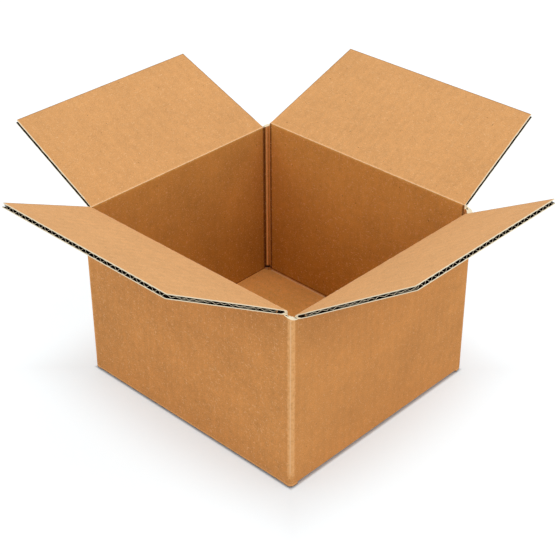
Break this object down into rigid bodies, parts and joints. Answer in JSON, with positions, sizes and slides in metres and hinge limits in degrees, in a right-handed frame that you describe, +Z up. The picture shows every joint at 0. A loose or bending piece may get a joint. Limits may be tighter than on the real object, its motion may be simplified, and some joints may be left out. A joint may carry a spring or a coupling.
{
  "type": "open cardboard box",
  "caption": "Small plain slotted box of brown corrugated board, glued bottom, with its top flaps folded open on crease hinges.",
  "frame": {"origin": "centre of the underside, on the surface the box stands on", "axes": "+Z up through the open top, X along the long walls, -Y is the front long wall"},
  "size_m": [0.3593, 0.3474, 0.1837],
  "materials": {
    "kraft_board": "matte unbleached kraft liner with fine fibre specks, paler at creases and cut edges"
  },
  "bodies": {
    "box": {"box_shell": "kraft_board"},
    "front_flap": {"front_flap": "kraft_board"},
    "back_flap": {"back_flap": "kraft_board"},
    "left_flap": {"left_flap": "kraft_board"},
    "right_flap": {"right_flap": "kraft_board"}
  },
  "joints": [
    {"name": "front_crease", "type": "hinge", "parent": "box", "child": "front_flap", "pos_m": [0, -0.0917, 0.137], "axis": [1, 0, 0], "range_deg": [-152, 83]},
    {"name": "back_crease", "type": "hinge", "parent": "box", "child": "back_flap", "pos_m": [0, 0.0917, 0.137], "axis": [-1, 0, 0], "range_deg": [-156, 79]},
    {"name": "left_crease", "type": "hinge", "parent": "box", "child": "left_flap", "pos_m": [-0.0992, 0, 0.1335], "axis": [0, -1, 0], "range_deg": [-156, 79]},
    {"name": "right_crease", "type": "hinge", "parent": "box", "child": "right_flap", "pos_m": [0.0992, 0, 0.1335], "axis": [0, 1, 0], "range_deg": [-148, 87]}
  ]
}
